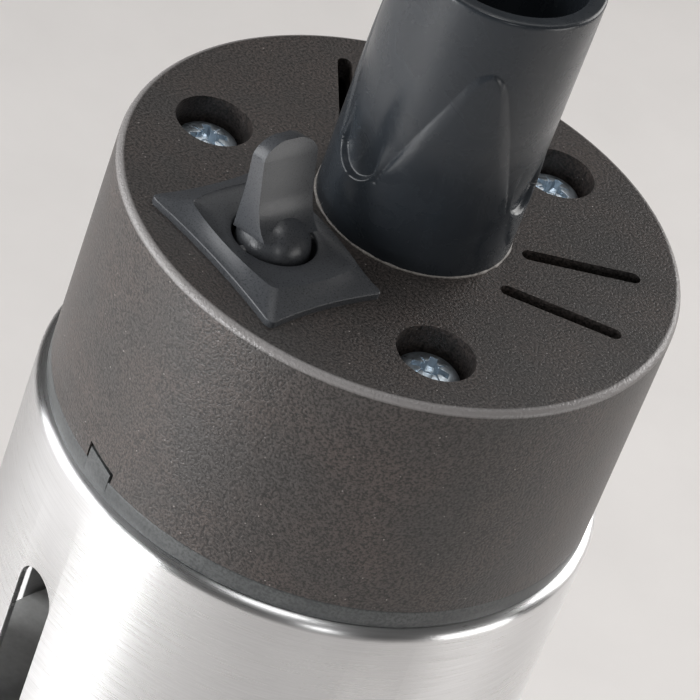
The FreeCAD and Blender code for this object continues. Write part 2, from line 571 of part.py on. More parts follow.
# ---- pump base ----
def pump_base():
    shell = fuse([cylinder(SLEEVE_R, BASE_LOW, BASE_SHOULDER),
                  cylinder(SLEEVE_R - SLEEVE_T - 0.15, BASE_SHOULDER, BASE_TOP)])
    shell = shell.makeFillet(1.2, [e for e in shell.Edges if abs(e.BoundBox.ZMax - BASE_LOW) < 0.01])
    shell = shell.cut(cylinder(BASE_IN_R, BASE_FLOOR, BASE_TOP + 1))
    posts = [cylinder(3.4, BASE_FLOOR - 1, COVER_LOW, polar(COVER_SCREW_R, a)) for a in THIRDS]
    shell = fuse([shell] + posts)
    cuts = [cylinder(1.15, COVER_LOW - 10, COVER_LOW + 1, polar(COVER_SCREW_R, a)) for a in THIRDS]
    cuts += [rod(polar(31, a, BASE_SCREW_Z), polar(40, a, BASE_SCREW_Z), 1.28) for a in BASE_SCREW_AZ]
    outlet = block(28, 40, -OUTLET_W / 2, OUTLET_W / 2, OUTLET_LOW, OUTLET_HIGH)
    outlet = outlet.makeFillet(3.0, [e for e in outlet.Edges if abs(e.BoundBox.XLength - 12) < 0.01])
    return shell.cut(cuts[0].multiFuse(cuts[1:] + [outlet]))


def base_screw(azimuth):
    seat = polar(SLEEVE_R, azimuth, BASE_SCREW_Z)
    head = rod(seat, polar(SLEEVE_R + 1.4, azimuth, BASE_SCREW_Z), 2.7)
    return fuse([head, rod(polar(32.6, azimuth, BASE_SCREW_Z), seat, 1.25)])


def pump_cover():
    shape = cylinder(COVER_R, COVER_LOW, COVER_LOW + COVER_T)
    shape = shape.cut(tube(INLET_R, COVER_HUB_R, COVER_LOW - 1, COVER_LOW + 5))
    spokes = [turned(block(6.0, 16.0, -1.4, 1.4, COVER_LOW, COVER_LOW + COVER_T), 90 + 120 * k)
              for k in range(3)]
    hub = cylinder(COVER_HUB_R, COVER_LOW, COVER_LOW + 9.0)
    shape = fuse([shape, hub] + spokes).cut(cylinder(BUSHING_R + SEAT, 20, 40))
    for a in THIRDS:
        shape = shape.cut(cylinder(1.4, 20, 40, polar(COVER_SCREW_R, a)))
    return shape


def cover_screw(at):
    top = COVER_LOW + COVER_T
    return fuse([cylinder(2.4, top, top + 1.8, at), cylinder(1.13, top - 11.0, top, at)])


def foot_ring():
    ring = tube(34.6, 28.5, 0.0, BASE_LOW)
    return ring.makeFillet(0.8, [e for e in ring.Edges if e.BoundBox.ZMax < 0.01])


def at_angles(make, r, azimuths):
    return Part.makeCompound([make(polar(r, a)) for a in azimuths])


NODES = {
    "neck_tube": neck_tube(),
    "neck_locknut": neck_locknut(),
    "cable_gland": cable_gland(),
    "gland_nut": gland_nut(),
    "gland_grommet": gland_grommet(),
    "end_cap": end_cap(),
    "cap_seal_ring": cap_seal_ring(),
    "cap_screws": at_angles(cap_screw, SCREW_RING_R, SCREW_AZ),
    "switch_bezel": switch_bezel(),
    "switch_housing": switch_housing(),
    "switch_pivot_pin": switch_pivot_pin(),
    "switch_lever": switch_lever(),
    "switch_spring": switch_spring(),
    "switch_plunger": switch_plunger(),
    "switch_rocker": switch_rocker(),
    "switch_terminals": switch_terminals(),
    "switch_wire_red": switch_wire(6.0, 231.0, 0.0),
    "switch_wire_white": switch_wire(0.0, 229.3, 1.8),
    "control_board": control_board(),
    "board_screws": at_angles(board_screw, BOARD_SCREW_R, BOARD_SCREW_AZ),
    "power_relay": on_board(-24.0, -9.5, -4.0, 10.8, 12.5),
    "board_transformer": on_board(8.6, 24.0, -3.0, 12.0, 10.0),
    "smoothing_capacitors": Part.makeCompound([capacitor(-12.2, 18.9, 12.0), capacitor(-20.5, 15.3, 9.0)]),
    "triac_heatsink": triac_heatsink(),
    "terminal_block": terminal_block(),
    "radio_module": radio_module(),
    "microcontroller": on_board(-16.0, -8.0, -24.0, -16.0, 1.4),
    "bulkhead": bulkhead(),
    "bulkhead_oring": bulkhead_oring(),
    "sleeve": sleeve(),
    "heater_coil": heater_coil(),
    "heater_nuts": at_angles(heater_nut, LEG_R, LEG_AZ),
    "temperature_probe": temperature_probe(),
    "probe_grommet": probe_grommet(),
    "level_probes": Part.makeCompound([cylinder(LEVEL_ROD_R, 168.0, 220.0, polar(LEVEL_R, a))
                                       for a in LEVEL_AZ]),
    "motor_can": motor_can(),
    "can_oring": ring_section(CAN_SEAL_R, BULKHEAD_LOW, 0.6).common(cylinder(30, BULKHEAD_LOW, 220)),
    "can_screws": at_angles(can_screw, CAN_SCREW_R, (0, 90, 180, 270)),
    "coil_plate": coil_plate(),
    "plate_screws": at_angles(plate_screw, PLATE_SCREW_R, THIRDS),
    "motor_case": motor_case(),
    "motor_end_bell": motor_end_bell(),
    "motor_magnets": Part.makeCompound([motor_magnet(0), motor_magnet(180)]),
    "motor_armature": motor_armature(),
    "armature_windings": Part.makeCompound([armature_winding(k) for k in range(5)]),
    "commutator": commutator(),
    "motor_brushes": Part.makeCompound([motor_brush(0), motor_brush(180)]),
    "motor_bearings": motor_bearings(),
    "motor_shaft": motor_shaft(),
    "shaft_seal": shaft_seal(),
    "shaft_coupling": shaft_coupling(),
    "pump_shaft": pump_shaft(),
    "impeller": impeller(),
    "pump_base": pump_base(),
    "base_screws": Part.makeCompound([base_screw(a) for a in BASE_SCREW_AZ]),
    "pump_cover": pump_cover(),
    "pump_bushing": tube(BUSHING_R, PUMP_SHAFT_R + RUN, COVER_LOW, COVER_LOW + 9.5),
    "cover_screws": at_angles(cover_screw, COVER_SCREW_R, THIRDS),
    "foot_ring": foot_ring(),
}

os.makedirs("parts", exist_ok=True)
for name, shape in NODES.items():
    if not shape.isValid():
        print("not valid:", name)
    shape.exportStep(os.path.join("parts", name + ".step"))
print(len(NODES), "nodes")
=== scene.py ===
import json
import math

import bmesh
import bpy
from mathutils import Matrix, Vector, noise


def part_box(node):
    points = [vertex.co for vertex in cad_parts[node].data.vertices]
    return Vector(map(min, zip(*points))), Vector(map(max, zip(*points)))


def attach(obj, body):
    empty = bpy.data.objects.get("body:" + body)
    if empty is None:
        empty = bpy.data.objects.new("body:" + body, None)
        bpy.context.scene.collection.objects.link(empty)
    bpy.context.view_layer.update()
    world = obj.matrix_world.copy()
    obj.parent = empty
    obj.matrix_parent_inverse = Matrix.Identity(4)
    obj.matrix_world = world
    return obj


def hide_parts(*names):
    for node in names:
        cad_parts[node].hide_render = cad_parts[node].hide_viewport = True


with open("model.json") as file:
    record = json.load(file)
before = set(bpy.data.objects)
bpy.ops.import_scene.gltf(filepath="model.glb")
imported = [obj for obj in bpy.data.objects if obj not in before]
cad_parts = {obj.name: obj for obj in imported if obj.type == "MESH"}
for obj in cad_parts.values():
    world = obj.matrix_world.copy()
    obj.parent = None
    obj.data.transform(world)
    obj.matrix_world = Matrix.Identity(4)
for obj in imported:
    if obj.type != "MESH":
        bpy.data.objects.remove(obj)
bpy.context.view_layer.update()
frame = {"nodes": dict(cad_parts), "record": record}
NODES = frame["nodes"]

# Pieces are drawn in millimetres and scaled to metres as their meshes are made.
MM = 0.001


def low_high(node):
    """A CAD node's lowest and highest corner, in millimetres."""
    low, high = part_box(node)
    return low / MM, high / MM


# ---- places read from the frame, in millimetres ----
CAP_LOW, CAP_HIGH = low_high("end_cap")
CAP_TOP, CAP_R = CAP_HIGH.z, CAP_HIGH.x
NECK_LOW, NECK_HIGH = low_high("neck_tube")
NECK_TOP = NECK_HIGH.z
NECK_Y = (NECK_LOW.y + NECK_HIGH.y) / 2
SLEEVE_LOW, SLEEVE_HIGH = low_high("sleeve")
SLEEVE_R = SLEEVE_HIGH.x
PIN_LOW, PIN_HIGH = low_high("switch_pivot_pin")
BOARD_TOP = low_high("control_board")[1].z

BALL = (PIN_LOW + PIN_HIGH) / 2
RING_BOTTOM = SLEEVE_HIGH.z


# ---- mesh helpers ----
def mesh_piece(name, verts, faces):
    """A smooth-shaded mesh object from points in millimetres."""
    mesh = bpy.data.meshes.new(name)
    mesh.from_pydata([tuple(c * MM for c in v) for v in verts], [], faces)
    mesh.validate()
    mesh.update()
    piece = bpy.data.objects.new(name, mesh)
    bpy.context.scene.collection.objects.link(piece)
    shade(piece, 180)
    return piece


def shade(piece, angle):
    """Smooth shading, with edges sharper than the angle kept sharp."""
    mesh = piece.data
    mesh.polygons.foreach_set("use_smooth", [True] * len(mesh.polygons))
    if angle < 180:
        mesh.set_sharp_from_angle(angle=math.radians(angle))


def use(piece, modifier, **values):
    """Adds a modifier and applies it at once."""
    made = piece.modifiers.new(modifier.lower(), modifier)
    for key, value in values.items():
        setattr(made, key, value)
    graph = bpy.context.evaluated_depsgraph_get()
    new = bpy.data.meshes.new_from_object(piece.evaluated_get(graph))
    piece.modifiers.remove(made)
    old = piece.data
    piece.data = new
    new.name = piece.name
    bpy.data.meshes.remove(old)
    return piece


def skin(rings, closed_ends=(False, False)):
    """Faces between rings of equally many points."""
    count = len(rings[0])
    verts = [p for ring in rings for p in ring]
    faces = []
    for k in range(len(rings) - 1):
        for j in range(count):
            a, b = k * count + j, k * count + (j + 1) % count
            faces.append((a, b, b + count, a + count))
    if closed_ends[0]:
        faces.append(tuple(reversed(range(count))))
    if closed_ends[1]:
        faces.append(tuple(range((len(rings) - 1) * count, len(rings) * count)))
    return verts, faces


def lathe(name, profile, steps=240, at=(0.0, 0.0)):
    """A closed (radius, z) profile turned about a vertical axis."""
    count = len(profile)
    verts, faces = [], []
    for s in range(steps):
        a = 2 * math.pi * s / steps
        verts += [(at[0] + r * math.cos(a), at[1] + r * math.sin(a), z) for r, z in profile]
    for s in range(steps):
        for k in range(count):
            n = (k + 1) % count
            t = (s + 1) % steps
            faces.append((s * count + k, t * count + k, t * count + n, s * count + n))
    return mesh_piece(name, verts, faces)


def arc(cx, cz, r, start, end, steps):
    """Points along an arc in the (radius, z) plane, angles in degrees."""
    angles = [math.radians(start + (end - start) * k / steps) for k in range(steps + 1)]
    return [(cx + r * math.cos(a), cz + r * math.sin(a)) for a in angles]


def column(r, low, high, at, steps=64):
    """A closed cylinder with flat ends, as a cutter or a plain shank."""
    angles = [2 * math.pi * k / steps for k in range(steps)]
    rings = [[(at[0] + r * math.cos(a), at[1] + r * math.sin(a), z) for a in angles] for z in (low, high)]
    return mesh_piece("cutter", *skin(rings, (True, True)))


def capsule(start, end, width, low, high, steps=16):
    """A vertical round-ended slot between two plan points."""
    run = math.atan2(end[1] - start[1], end[0] - start[0])
    plan = []
    for centre, first in ((end, run - math.pi / 2), (start, run + math.pi / 2)):
        for k in range(steps + 1):
            a = first + math.pi * k / steps
            plan.append((centre[0] + width / 2 * math.cos(a), centre[1] + width / 2 * math.sin(a)))
    rings = [[(x, y, z) for x, y in plan] for z in (low, high)]
    return mesh_piece("cutter", *skin(rings, (True, True)))


def cuboid(low, high):
    corners = [(x, y, z) for z in (low[2], high[2])
               for x, y in ((low[0], low[1]), (high[0], low[1]), (high[0], high[1]), (low[0], high[1]))]
    return mesh_piece("cutter", *skin([corners[:4], corners[4:]], (True, True)))


def turn(piece, azimuth, axis="Z", about=(0.0, 0.0, 0.0)):
    """Turns a piece's own mesh about an axis through a point in millimetres."""
    centre = Vector(about) * MM
    spin = Matrix.Rotation(math.radians(azimuth), 4, axis)
    piece.data.transform(Matrix.Translation(centre) @ spin @ Matrix.Translation(-centre))
    return piece


def carve(piece, cutters, operation="DIFFERENCE"):
    """Cuts each cutter from the piece, or joins it, and removes the cutters."""
    for cutter in cutters:
        use(piece, "BOOLEAN", operation=operation, solver="EXACT", object=cutter)
        bpy.data.objects.remove(cutter)
    return piece


def ease_edges(piece, width, segments=2, angle=32):
    """Small rounded edges, as a moulded or deburred part has."""
    use(piece, "BEVEL", width=width * MM, segments=segments, limit_method="ANGLE",
        angle_limit=math.radians(angle), use_clamp_overlap=True, harden_normals=False)
    shade(piece, 40)
    return piece


def polar(r, azimuth):
    a = math.radians(azimuth)
    return (r * math.cos(a), r * math.sin(a))


def smooth_step(value, low, high):
    t = min(max((value - low) / (high - low), 0.0), 1.0)
    return t * t * (3 - 2 * t)


def fit_out(piece, material, body, slot, *replaced):
    """Material, body and replaced CAD nodes of a finished piece; the slot argument is not used."""
    piece.data.materials.clear()
    piece.data.materials.append(material)
    if replaced:
        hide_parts(*replaced)
    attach(piece, body)
    return piece


# ---- procedural materials ----
def add(tree, kind, inputs=None, **settings):
    """A shader node; inputs maps a socket to a value or to another node's output."""
    made = tree.nodes.new("ShaderNode" + kind)
    for key, value in settings.items():
        setattr(made, key, value)
    for key, value in (inputs or {}).items():
        if isinstance(value, bpy.types.NodeSocket):
            tree.links.new(value, made.inputs[key])
        else:
            made.inputs[key].default_value = value
    return made


def new_material(name, color, roughness, metallic=0.0, **sockets):
    """A Principled material with constant values on its own sockets."""
    made = bpy.data.materials.new(name)
    made.use_nodes = True
    tree = made.node_tree
    shader = tree.nodes["Principled BSDF"]
    shader.inputs["Base Color"].default_value = (*color, 1.0)
    shader.inputs["Roughness"].default_value = roughness
    shader.inputs["Metallic"].default_value = metallic
    for key, value in sockets.items():
        shader.inputs[key.replace("_", " ")].default_value = value
    return made, tree, shader


def place(tree):
    """Position on the piece, in metres."""
    return add(tree, "TexCoord").outputs["Object"]


def noise_at(tree, vector, scale, detail=3.0, rough=0.5, distortion=0.0):
    return add(tree, "TexNoise", {"Vector": vector, "Scale": scale, "Detail": detail,
                                  "Roughness": rough, "Distortion": distortion}).outputs["Fac"]


def spread(tree, factor, low, high, to_low, to_high):
    return add(tree, "MapRange", {"Value": factor, "From Min": low, "From Max": high,
                                  "To Min": to_low, "To Max": to_high}).outputs["Result"]


def blend_colors(tree, factor, first, second):
    made = add(tree, "Mix", {"Factor": factor}, data_type="RGBA")
    for socket, value in ((made.inputs[6], first), (made.inputs[7], second)):
        if isinstance(value, bpy.types.NodeSocket):
            tree.links.new(value, socket)
        else:
            socket.default_value = (*value, 1.0)
    return made.outputs[2]


def math_of(tree, operation, first, second=0.0):
    return add(tree, "Math", {0: first, 1: second}, operation=operation).outputs[0]


def bump(tree, shader, height, distance, strength=1.0, under=None):
    """Relief of that depth in metres on the shader's normal."""
    inputs = {"Height": height, "Distance": distance, "Strength": strength}
    if under is not None:
        inputs["Normal"] = under
    made = add(tree, "Bump", inputs)
    tree.links.new(made.outputs["Normal"], shader.inputs["Normal"])
    return made.outputs["Normal"]


def grained_plastic(name, color, tint, roughness, grain, depth, glint_specks=0.0, contrast=0.25):
    """Spark-eroded moulded plastic: fine grain, a slight colour drift, and pale specks painted as glints of
    the grain.
    """
    made, tree, shader = new_material(name, color, roughness)
    at = place(tree)
    fine = noise_at(tree, at, grain, 2.0, 0.6)
    drift = noise_at(tree, at, grain / 25, 3.0)
    light = blend_colors(tree, spread(tree, drift, 0.35, 0.65, 0.0, 1.0), color, tint)
    dark = tuple(c * (1.0 - contrast) for c in color)
    shades = blend_colors(tree, spread(tree, fine, 0.38, 0.60, 0.0, 1.0), dark, light)
    if glint_specks:
        # Painted glints: sparse pale specks in the colour stand in for the sparkle of the grain.
        spots = add(tree, "TexVoronoi", {"Vector": at, "Scale": grain / 3.2, "Randomness": 1.0})
        glint_dots = spread(tree, spots.outputs["Distance"], 0.05, 0.11, glint_specks, 0.0)
        sparse = spread(tree, noise_at(tree, at, grain / 6, 1.0), 0.52, 0.62, 0.0, 1.0)
        shades = blend_colors(tree, math_of(tree, "MULTIPLY", glint_dots, sparse), shades, (0.42, 0.38, 0.36))
    tree.links.new(shades, shader.inputs["Base Color"])
    tree.links.new(spread(tree, fine, 0.3, 0.7, roughness - 0.07, roughness + 0.07),
                   shader.inputs["Roughness"])
    bump(tree, shader, fine, depth)
    return made


def around(tree, along, up):
    """Cylindrical coordinates: turns about Z times along, height times up."""
    xyz = add(tree, "SeparateXYZ", {0: place(tree)})
    turns = math_of(tree, "ARCTAN2", xyz.outputs["Y"], xyz.outputs["X"])
    return add(tree, "CombineXYZ", {0: math_of(tree, "MULTIPLY", turns, along),
                                    1: math_of(tree, "MULTIPLY", xyz.outputs["Z"], up)}).outputs[0]


def brushed_round(name, color, roughness):
    """Sheet steel brushed round its axis, with fine lines and faint cloudy marks."""
    made, tree, shader = new_material(name, color, roughness, 1.0, Anisotropic=0.8,
                                      Anisotropic_Rotation=0.25)
    tangent = add(tree, "Tangent", direction_type="RADIAL", axis="Z")
    tree.links.new(tangent.outputs[0], shader.inputs["Tangent"])
    lines = noise_at(tree, around(tree, 3.0, 5200.0), 1.0, 5.0, 0.65)
    cloud = noise_at(tree, around(tree, 2.0, 60.0), 1.0, 3.0)
    tone = blend_colors(tree, spread(tree, lines, 0.3, 0.7, 0.0, 1.0),
                        tuple(c * 0.90 for c in color), tuple(min(c * 1.06, 1.0) for c in color))
    tree.links.new(tone, shader.inputs["Base Color"])
    tree.links.new(math_of(tree, "ADD", spread(tree, lines, 0.3, 0.7, roughness - 0.05, roughness + 0.05),
                           spread(tree, cloud, 0.3, 0.7, -0.03, 0.03)), shader.inputs["Roughness"])
    bump(tree, shader, lines, 0.000008)
    return made


def glossy_plastic(name, color, roughness, smear, wave):
    """Polished moulded plastic with smears in its gloss and a slightly uneven surface."""
    made, tree, shader = new_material(name, color, roughness)
    at = place(tree)
    marks = noise_at(tree, at, 180.0, 5.0, 0.65, 0.6)
    grain = noise_at(tree, at, 2400.0, 2.0)
    tree.links.new(spread(tree, marks, 0.3, 0.75, roughness - 0.04, roughness + smear),
                   shader.inputs["Roughness"])
    tree.links.new(blend_colors(tree, marks, color, tuple(c * 1.5 for c in color)),
                   shader.inputs["Base Color"])
    coarse = bump(tree, shader, noise_at(tree, at, 140.0, 1.0), wave)
    bump(tree, shader, grain, 0.000012, 1.0, coarse)
    return made


def plated(name, color, roughness):
    """Plated or turned metal with small scratches and a cloudy gloss."""
    made, tree, shader = new_material(name, color, roughness, 1.0)
    at = place(tree)
    cloud = noise_at(tree, at, 900.0, 4.0, 0.6)
    scratch = noise_at(tree, add(tree, "Mapping", {"Vector": at, "Scale": (1.0, 9.0, 1.0)}).outputs[0],
                       2600.0, 2.0)
    tree.links.new(blend_colors(tree, cloud, tuple(c * 0.82 for c in color), color),
                   shader.inputs["Base Color"])
    tree.links.new(spread(tree, cloud, 0.3, 0.7, roughness - 0.06, roughness + 0.14),
                   shader.inputs["Roughness"])
    bump(tree, shader, scratch, 0.000004)
    return made


def mottled(name, color, roughness, grain=700.0, contrast=0.35, metallic=0.0, depth=0.00002):
    """A plain part's finish: slight mottling of colour, gloss and relief."""
    made, tree, shader = new_material(name, color, roughness, metallic)
    cloud = noise_at(tree, place(tree), grain, 4.0, 0.6)
    low = tuple(c * (1 - contrast) for c in color)
    high = tuple(min(c * (1 + contrast), 1.0) for c in color)
    tree.links.new(blend_colors(tree, spread(tree, cloud, 0.3, 0.7, 0.0, 1.0), low, high),
                   shader.inputs["Base Color"])
    tree.links.new(spread(tree, cloud, 0.3, 0.7, roughness - 0.08, roughness + 0.08),
                   shader.inputs["Roughness"])
    bump(tree, shader, cloud, depth)
    return made


def with_painted_rim_highlight(made, color, roughness, corner):
    """That finish with a paler colour painted as a highlight, and a smoother gloss rubbed by handling, where
    radius and height together pass corner.
    """
    tree = made.node_tree
    shader = tree.nodes["Principled BSDF"]
    xyz = add(tree, "SeparateXYZ", {0: place(tree)})
    flat = add(tree, "CombineXYZ", {0: xyz.outputs["X"], 1: xyz.outputs["Y"]}).outputs[0]
    radius = add(tree, "VectorMath", {0: flat}, operation="LENGTH").outputs["Value"]
    reach = math_of(tree, "ADD", radius, xyz.outputs["Z"])
    # Mask of the rim band: its paler colour is a painted highlight, its lower roughness is rubbed wear.
    rim = spread(tree, reach, corner + 0.00008, corner + 0.00032, 0.0, 1.0)
    plain = shader.inputs["Base Color"].links[0].from_socket
    gloss = shader.inputs["Roughness"].links[0].from_socket
    tree.links.new(blend_colors(tree, rim, plain, color), shader.inputs["Base Color"])
    smooth = add(tree, "Mix", {"Factor": rim, 2: gloss, 3: roughness})
    tree.links.new(smooth.outputs[0], shader.inputs["Roughness"])
    return made


CAP_EDGE = 1.0
FINISHES = {
    "cap_plastic": grained_plastic("cap_plastic", (0.074, 0.067, 0.064), (0.096, 0.078, 0.071),
                                   0.37, 3000.0, 0.00012, 0.9, 0.65),
    "switch_plastic": grained_plastic("switch_plastic", (0.066, 0.070, 0.077), (0.080, 0.084, 0.092),
                                      0.32, 5200.0, 0.000012),
    "neck_plastic": glossy_plastic("neck_plastic", (0.020, 0.024, 0.029), 0.24, 0.12, 0.00005),
    "seal_rubber": grained_plastic("seal_rubber", (0.085, 0.090, 0.092), (0.115, 0.120, 0.120),
                                   0.42, 2600.0, 0.00003),
    "sleeve_steel": brushed_round("sleeve_steel", (0.78, 0.78, 0.785), 0.30),
    "zinc_screw": plated("zinc_screw", (0.80, 0.89, 0.97), 0.32),
    "steel_plain": plated("steel_plain", (0.66, 0.66, 0.66), 0.30),
    "element_steel": mottled("element_steel", (0.46, 0.42, 0.36), 0.34, 500.0, 0.25, 1.0),
    "wet_plastic": grained_plastic("wet_plastic", (0.030, 0.030, 0.032), (0.042, 0.042, 0.044),
                                   0.42, 3000.0, 0.00003),
    "nylon_natural": mottled("nylon_natural", (0.62, 0.60, 0.54), 0.42, 900.0, 0.08),
    "brass_contact": mottled("brass_contact", (0.72, 0.53, 0.24), 0.30, 800.0, 0.15, 1.0),
    "copper_winding": mottled("copper_winding", (0.62, 0.26, 0.12), 0.32, 2500.0, 0.3, 0.6),
    "graphite": mottled("graphite", (0.04, 0.04, 0.04), 0.55),
    "ferrite": mottled("ferrite", (0.08, 0.08, 0.085), 0.50),
    "lamination": mottled("lamination", (0.30, 0.30, 0.31), 0.42, 3000.0, 0.2, 1.0),
    "board_laminate": mottled("board_laminate", (0.012, 0.13, 0.05), 0.34, 1500.0, 0.25),
    "component_black": mottled("component_black", (0.022, 0.022, 0.022), 0.40),
    "component_blue": mottled("component_blue", (0.03, 0.10, 0.34), 0.34),
    "transformer_tape": mottled("transformer_tape", (0.72, 0.56, 0.09), 0.30),
    "aluminium_plain": mottled("aluminium_plain", (0.74, 0.74, 0.75), 0.34, 900.0, 0.1, 1.0),
    "wire_red": mottled("wire_red", (0.62, 0.03, 0.02), 0.32, 900.0, 0.15),
    "wire_white": mottled("wire_white", (0.82, 0.80, 0.76), 0.32, 900.0, 0.08),
    "foot_rubber": mottled("foot_rubber", (0.035, 0.035, 0.036), 0.60, 1800.0, 0.3),
}
# The cap's rim is painted paler all round as a highlight, and made smoother as rubbed wear.
FINISHES["cap_plastic"] = with_painted_rim_highlight(FINISHES["cap_plastic"], (0.30, 0.285, 0.28), 0.24,
                                        (CAP_R - CAP_EDGE + CAP_TOP) * MM)
# Painted light: the coil plate gets a pale grey in place of its dark plastic, so the inside seen through the
# sleeve's slots looks lit.
PLATE_GREY_AS_PAINTED_LIGHT = mottled("plate_grey_as_painted_light", (0.56, 0.56, 0.55), 0.36, 900.0, 0.1)
for row in frame["record"]["subparts"]:
    NODES[row["node"]].material_slots[0].material = FINISHES[row["material_slot"]]
NODES["coil_plate"].material_slots[0].material = PLATE_GREY_AS_PAINTED_LIGHT


# ---- end cap ----
SCREW_RING_R, SCREW_AZ = 25.3, (90.0, 210.0, 330.0)
RECESS_R, RECESS_DEPTH, BOSS_R = 4.8, 4.8, 6.8
CAP_WALL, CAP_ROOF = 2.5, 3.0
VENT_W = 1.9
VENTS = ((15.8, 43.3, 28.7, 47.8), (16.3, 12.9, 29.0, 23.7))
SWITCH_Y = BALL.y
KEY_AZ, KEY_W, KEY_H = -92.0, 4.4, 1.9


def wedge(inner, outer, half, low, high, fall):
    """A block across the +X side of the wall, its top falling towards +Y."""
    ends = ((inner, -half, high), (outer, -half, high),
            (outer, half, high - fall), (inner, half, high - fall))
    rings = [[(x, y, low) for x, y, _ in ends], list(ends)]
    return mesh_piece("cutter", *skin(rings, (True, True)))


def end_cap():
    roof = CAP_TOP - CAP_ROOF
    profile = [(3.0, CAP_TOP)] + arc(CAP_R - CAP_EDGE, CAP_TOP - CAP_EDGE, CAP_EDGE, 90, 0, 8)
    profile += [(CAP_R, CAP_LOW.z), (CAP_R - CAP_WALL, CAP_LOW.z), (CAP_R - CAP_WALL, roof), (3.0, roof)]
    cap = lathe("end_cap_moulding", profile, 320)
    posts = [polar(SCREW_RING_R, a) for a in SCREW_AZ]
    carve(cap, [column(BOSS_R, roof - RECESS_DEPTH, CAP_TOP - 1.0, at) for at in posts], "UNION")
    cutters = [column(RECESS_R, CAP_TOP - RECESS_DEPTH, CAP_TOP + 1, at, 96) for at in posts]
    cutters += [column(2.2, CAP_TOP - 14, CAP_TOP - RECESS_DEPTH + 0.5, at, 32) for at in posts]
    for r0, a0, r1, a1 in VENTS:
        for start, end in ((a0, a1), (180 - a0, 180 - a1)):
            cutters.append(capsule(polar(r0, start), polar(r1, end), VENT_W, CAP_TOP - 5, CAP_TOP + 1))
    cutters.append(column(9.1, roof - 1, CAP_TOP + 1, (0, NECK_Y), 96))
    cutters.append(cuboid((-9.2, SWITCH_Y - 6.2, roof - 1), (9.2, SWITCH_Y + 6.2, CAP_TOP + 1)))
    carve(cap, cutters)
    notch = wedge(31, 37, KEY_W / 2 + 0.4, CAP_LOW.z - 1, CAP_LOW.z + KEY_H + 0.5, 0.9)
    carve(cap, [turn(notch, KEY_AZ)])
    ease_edges(cap, 0.22)
    return fit_out(cap, FINISHES["cap_plastic"], "housing", "cap_plastic", "end_cap")


def pan_screw(name, at, spin):
    """A pan-head screw with a cross recess and its four fine ticks."""
    seat = CAP_TOP - RECESS_DEPTH
    dome = [(4.0 * math.cos(a), 1.15 + 1.5 * math.sin(a)) for a in (math.radians(8 * k) for k in range(11))]
    profile = [(0.05, 0.0), (3.8, 0.0), (4.0, 0.25)] + dome + [(0.05, 2.65)]
    head = lathe(name, [(r, seat + z) for r, z in profile], 96)
    shank = column(1.95, seat - 18.0, seat + 0.1, (0, 0), 32)
    carve(head, [shank], "UNION")
    cutters = []
    for k in range(2):
        wing = cuboid((-2.3, -0.48, seat + 1.0), (2.3, 0.48, seat + 4))
        cutters.append(turn(wing, 90 * k))
        tick = cuboid((-3.1, -0.11, seat + 2.28), (3.1, 0.11, seat + 4))
        cutters.append(turn(tick, 45 + 90 * k))
    cutters.append(column(1.25, seat + 0.8, seat + 4, (0, 0), 32))
    carve(head, cutters)
    ease_edges(head, 0.07, 2, 35)
    turn(head, spin)
    head.data.transform(Matrix.Translation(Vector((at[0], at[1], 0)) * MM))
    return head


def cap_screws():
    for k, azimuth in enumerate(SCREW_AZ):
        screw = pan_screw(f"cap_screw_{k + 1}", polar(SCREW_RING_R, azimuth), (20, 64, 38)[k])
        fit_out(screw, FINISHES["zinc_screw"], "housing", "zinc_screw", "cap_screws")


# ---- gasket ring and sleeve ----
def seal_ring():
    inner = 32.5
    edge = 0.25
    profile = [(inner, RING_BOTTOM), (CAP_R - edge, RING_BOTTOM)]
    profile += arc(CAP_R - edge, RING_BOTTOM + edge, edge, -90, 0, 4)
    profile += arc(CAP_R - edge, CAP_LOW.z - edge, edge, 0, 90, 4) + [(inner, CAP_LOW.z)]
    ring = lathe("gasket_ring", profile, 320)
    key = wedge(32.7, CAP_R, KEY_W / 2, CAP_LOW.z - 1.5, CAP_LOW.z + KEY_H, 0.8)
    carve(ring, [turn(key, KEY_AZ)], "UNION")
    ease_edges(ring, 0.12, 2, 35)
    return fit_out(ring, FINISHES["seal_rubber"], "housing", "seal_rubber", "cap_seal_ring")


SLEEVE_T, SLEEVE_LIP_R, SLEEVE_SHOULDER = 0.8, 31.5, 1.5
SLOT_COUNT, SLOT_AZ, SLOT_W, SLOT_TOP, SLOT_BOTTOM = 5, -96.0, 7.3, 204.0, 110.0
BASE_SCREW_AZ, BASE_SCREW_Z = (45, 135, 225, 315), 50.0


def wall_slot(azimuth):
    """A cutter for one upright round-ended slot in the sleeve's wall."""
    cutter = capsule((SLOT_BOTTOM + SLOT_W / 2, 0), (SLOT_TOP - SLOT_W / 2, 0), SLOT_W, 31, 41, 24)
    cutter.data.transform(Matrix(((0, 0, 1, 0), (0, -1, 0, 0), (1, 0, 0, 0), (0, 0, 0, 1))))
    return turn(cutter, azimuth)


def steel_sleeve():
    top, out = SLEEVE_HIGH.z, SLEEVE_R
    inner, shoulder = out - SLEEVE_T, SLEEVE_SHOULDER
    profile = [(out, SLEEVE_LOW.z)] + arc(out - shoulder, top - shoulder, shoulder, 0, 90, 10)
    profile += [(SLEEVE_LIP_R, top), (SLEEVE_LIP_R, top - SLEEVE_T)]
    bend = shoulder - SLEEVE_T
    profile += arc(inner - bend, top - SLEEVE_T - bend, bend, 90, 0, 5) + [(inner, SLEEVE_LOW.z)]
    sleeve = lathe("steel_sleeve", profile, 320)
    cutters = [wall_slot(SLOT_AZ + 360 / SLOT_COUNT * k) for k in range(SLOT_COUNT)]
    for azimuth in BASE_SCREW_AZ:
        hole = turn(column(1.6, 33, 39, (0, 0), 24), 90, "Y")
        hole.data.transform(Matrix.Translation(Vector((0, 0, BASE_SCREW_Z)) * MM))
        cutters.append(turn(hole, azimuth))
    carve(sleeve, cutters)
    ease_edges(sleeve, 0.12, 2, 35)
    return fit_out(sleeve, FINISHES["sleeve_steel"], "housing", "sleeve_steel", "sleeve")


